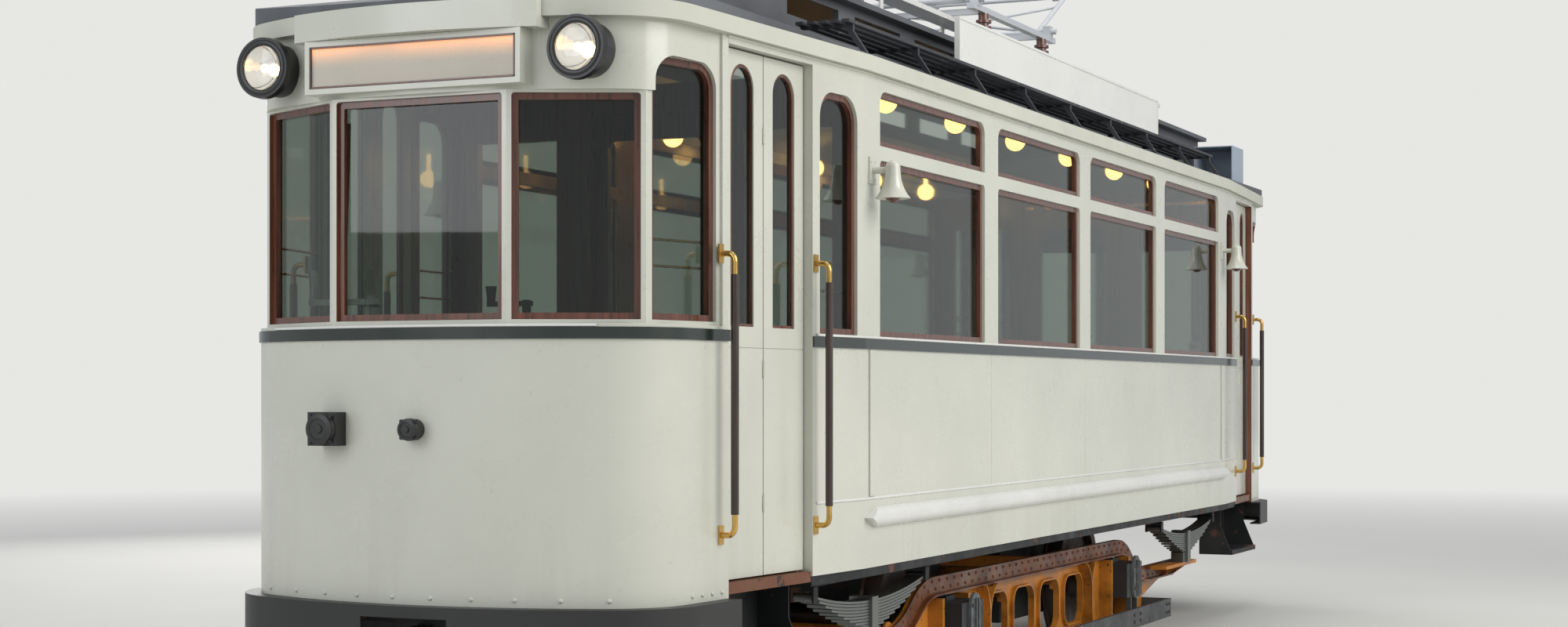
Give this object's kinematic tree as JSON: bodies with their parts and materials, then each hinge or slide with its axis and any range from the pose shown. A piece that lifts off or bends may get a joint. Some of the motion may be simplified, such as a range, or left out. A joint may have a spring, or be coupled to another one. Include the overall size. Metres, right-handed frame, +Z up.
{
  "type": "historic two-axle electric tram car",
  "caption": "Cream two-axle electric tram with bowed ends, folding platform doors, clerestory roof, pantograph and a pressed-steel truck on leaf springs.",
  "frame": {"origin": "midway along and across the car, level with the lowest point of the wheel flanges", "axes": "+Z up, +Y along the rails towards the rear end, +X towards the car's left side"},
  "size_m": [2.3382, 10.1498, 4.3687],
  "materials": {
    "cream_paint": "gloss enamel over sheet, slightly worn",
    "white_paint": "gloss enamel",
    "green_black_paint": "gloss enamel",
    "black_paint": "satin, chipped",
    "grey_roof": "matt",
    "blue_grey_paint": "satin",
    "yellow_paint": "satin, oily",
    "red_brown_paint": "satin",
    "steel": "worn steel",
    "cast_iron": "oily",
    "spring_steel": "oily",
    "light_grey_paint": "satin",
    "brass": "polished, handled",
    "dark_wood": "varnished",
    "mahogany": "varnished",
    "bench_wood": "varnished slats",
    "floor_wood": "worn boards",
    "glass": "clear",
    "black_rubber": "matt",
    "lamp_glass": "warm glass"
  },
  "bodies": {
    "root": {"axle_boxes": "cast_iron", "belt_strips": "green_black_paint", "benches": "bench_wood", "brake_gear": "cast_iron", "bulkheads": "mahogany", "bumpers": "black_paint", "ceiling_lamps": "lamp_glass", "clerestory": "grey_roof", "controllers": "black_paint", "couplers": "black_paint", "dash_sockets": "black_paint", "destination_boxes": "cream_paint", "door_sills": "red_brown_paint", "fender_rails": "white_paint", "floor": "floor_wood", "front_dash": "cream_paint", "front_vestibule": "cream_paint", "glazing": "glass", "guard_frame": "black_paint", "handbrakes": "steel", "handrail_brackets": "brass", "handrail_rods": "dark_wood", "headlamps": "black_rubber", "hoods": "cream_paint", "leaf_springs": "spring_steel", "motors": "cast_iron", "pantograph_base": "light_grey_paint", "rear_dash": "cream_paint", "rear_vestibule": "cream_paint", "roof_box": "blue_grey_paint", "roof_deck": "cream_paint", "roof_racks": "grey_roof", "roof_walkway": "white_paint", "route_boards": "white_paint", "side_wall_left": "cream_paint", "side_wall_right": "cream_paint", "signal_lamps": "cream_paint", "slide_rails": "brass", "step_wells": "black_paint", "truck_frame": "yellow_paint", "underframe": "black_paint", "window_frames": "mahogany"},
    "wheelset_front": {"wheelset_front": "steel"},
    "wheelset_rear": {"wheelset_rear": "steel"},
    "door_front_left_hinge_leaf": {"door_front_left_hinge_leaf": "cream_paint"},
    "door_front_left_fold_leaf": {"door_front_left_fold_leaf": "cream_paint"},
    "door_rear_left_hinge_leaf": {"door_rear_left_hinge_leaf": "cream_paint"},
    "door_rear_left_fold_leaf": {"door_rear_left_fold_leaf": "cream_paint"},
    "door_front_right_hinge_leaf": {"door_front_right_hinge_leaf": "cream_paint"},
    "door_front_right_fold_leaf": {"door_front_right_fold_leaf": "cream_paint"},
    "door_rear_right_hinge_leaf": {"door_rear_right_hinge_leaf": "cream_paint"},
    "door_rear_right_fold_leaf": {"door_rear_right_fold_leaf": "cream_paint"},
    "slide_door_front": {"slide_door_front": "mahogany"},
    "slide_door_rear": {"slide_door_rear": "mahogany"},
    "pantograph_lower_front": {"pantograph_lower_front": "light_grey_paint"},
    "pantograph_upper_front": {"pantograph_upper_front": "light_grey_paint"},
    "pantograph_head": {"pantograph_head": "light_grey_paint"},
    "pantograph_lower_rear": {"pantograph_lower_rear": "light_grey_paint"},
    "pantograph_upper_rear": {"pantograph_upper_rear": "light_grey_paint"}
  },
  "joints": [
    {"name": "axle_front", "type": "hinge", "parent": "root", "child": "wheelset_front", "pos_m": [0, -1.4, 0.41], "axis": [1, 0, 0], "continuous": true},
    {"name": "axle_rear", "type": "hinge", "parent": "root", "child": "wheelset_rear", "pos_m": [0, 1.4, 0.41], "axis": [1, 0, 0], "continuous": true},
    {"name": "door_front_left", "type": "hinge", "parent": "root", "child": "door_front_left_hinge_leaf", "pos_m": [0.90217, -3.54325, 1.8], "axis": [0, 0, -1], "range_deg": [0, 85]},
    {"name": "door_front_left_fold", "type": "hinge", "parent": "door_front_left_hinge_leaf", "child": "door_front_left_fold_leaf", "pos_m": [0.90394, -3.85475, 1.8], "axis": [0, 0, -1], "range_deg": [-170.5, 0]},
    {"name": "door_rear_left", "type": "hinge", "parent": "root", "child": "door_rear_left_hinge_leaf", "pos_m": [0.90217, 3.54325, 1.8], "axis": [0, 0, 1], "range_deg": [0, 85]},
    {"name": "door_rear_left_fold", "type": "hinge", "parent": "door_rear_left_hinge_leaf", "child": "door_rear_left_fold_leaf", "pos_m": [0.90394, 3.85475, 1.8], "axis": [0, 0, 1], "range_deg": [-170.5, 0]},
    {"name": "door_front_right", "type": "hinge", "parent": "root", "child": "door_front_right_hinge_leaf", "pos_m": [-0.90217, -3.54325, 1.8], "axis": [0, 0, 1], "range_deg": [0, 85]},
    {"name": "door_front_right_fold", "type": "hinge", "parent": "door_front_right_hinge_leaf", "child": "door_front_right_fold_leaf", "pos_m": [-0.90394, -3.85475, 1.8], "axis": [0, 0, 1], "range_deg": [-170.5, 0]},
    {"name": "door_rear_right", "type": "hinge", "parent": "root", "child": "door_rear_right_hinge_leaf", "pos_m": [-0.90217, 3.54325, 1.8], "axis": [0, 0, -1], "range_deg": [0, 85]},
    {"name": "door_rear_right_fold", "type": "hinge", "parent": "door_rear_right_hinge_leaf", "child": "door_rear_right_fold_leaf", "pos_m": [-0.90394, 3.85475, 1.8], "axis": [0, 0, -1], "range_deg": [-170.5, 0]},
    {"name": "slide_door_front", "type": "slide", "parent": "root", "child": "slide_door_front", "axis": [1, 0, 0], "range_m": [0, 0.57]},
    {"name": "slide_door_rear", "type": "slide", "parent": "root", "child": "slide_door_rear", "axis": [1, 0, 0], "range_m": [0, 0.57]},
    {"name": "pantograph_raise", "type": "hinge", "parent": "root", "child": "pantograph_lower_front", "pos_m": [0, -0.6, 3.52], "axis": [-1, 0, 0], "range_deg": [-18, 35]},
    {"name": "pantograph_knee_front", "type": "hinge", "parent": "pantograph_lower_front", "child": "pantograph_upper_front", "pos_m": [0, -1.43447, 3.85715], "axis": [-1, 0, 0], "range_deg": [-64.03, 33.17]},
    {"name": "pantograph_head_pivot", "type": "hinge", "parent": "pantograph_upper_front", "child": "pantograph_head", "pos_m": [0, -0.2, 4.26469], "axis": [-1, 0, 0], "range_deg": [-15.17, 29.02]},
    {"name": "pantograph_shaft_rear", "type": "hinge", "parent": "root", "child": "pantograph_lower_rear", "pos_m": [0, 0.6, 3.52], "axis": [-1, 0, 0], "range_deg": [-35.5, 18.5]},
    {"name": "pantograph_knee_rear", "type": "hinge", "parent": "pantograph_lower_rear", "child": "pantograph_upper_rear", "pos_m": [0, 1.43447, 3.85715], "axis": [-1, 0, 0], "range_deg": [-33.17, 64.03]}
  ],
  "couplings": [
    {"joint": "door_front_left_fold", "follows": "door_front_left", "ratio": -2},
    {"joint": "door_rear_left_fold", "follows": "door_rear_left", "ratio": -2},
    {"joint": "door_front_right_fold", "follows": "door_front_right", "ratio": -2},
    {"joint": "door_rear_right_fold", "follows": "door_rear_right", "ratio": -2},
    {"joint": "pantograph_knee_front", "follows": "pantograph_raise", "ratio": -1.815},
    {"joint": "pantograph_head_pivot", "follows": "pantograph_raise", "ratio": 0.815},
    {"joint": "pantograph_shaft_rear", "follows": "pantograph_raise", "ratio": -1},
    {"joint": "pantograph_knee_rear", "follows": "pantograph_raise", "ratio": 1.815}
  ]
}
